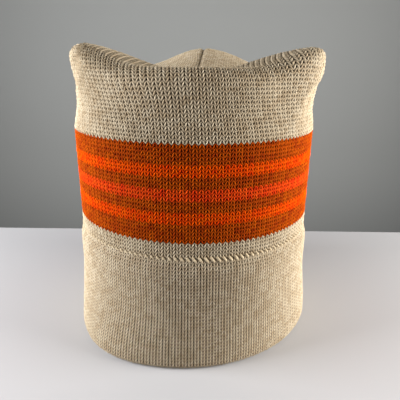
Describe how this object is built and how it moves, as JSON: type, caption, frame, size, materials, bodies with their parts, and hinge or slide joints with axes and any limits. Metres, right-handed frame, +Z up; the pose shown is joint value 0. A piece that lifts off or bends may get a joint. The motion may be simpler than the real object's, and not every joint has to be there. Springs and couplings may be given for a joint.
{
  "type": "knit beanie",
  "caption": "Knitted hat with a turned double hem, a band of contrasting stripes and a dart-seamed crown with blunt ears.",
  "frame": {"origin": "under the middle of the brim, on the surface the fold stands on", "axes": "+Z up through the crown, -Y towards the front of the hat, +X towards the wearer's left ear side"},
  "size_m": [0.1782, 0.1782, 0.1962],
  "materials": {
    "oatmeal_knit": "matte heathered knit",
    "rust_knit": "matte heathered knit",
    "orange_knit": "matte knit",
    "coral_knit": "matte knit",
    "sewing_thread": "matte spun thread"
  },
  "bodies": {
    "root": {"turned_hem": "oatmeal_knit", "lower_band": "oatmeal_knit", "crown_panel": "oatmeal_knit", "linking_thread": "sewing_thread", "crown_tack": "sewing_thread", "stripe_1_rust": "rust_knit", "stripe_2_orange": "orange_knit", "stripe_3_rust": "rust_knit", "stripe_4_coral": "coral_knit", "stripe_5_rust": "rust_knit", "stripe_6_orange": "orange_knit", "stripe_7_rust": "rust_knit", "dart_seam_left": "oatmeal_knit", "overlock_left": "sewing_thread", "dart_seam_right": "oatmeal_knit", "overlock_right": "sewing_thread", "dart_seam_back": "oatmeal_knit", "overlock_back": "sewing_thread"}
  },
  "joints": []
}
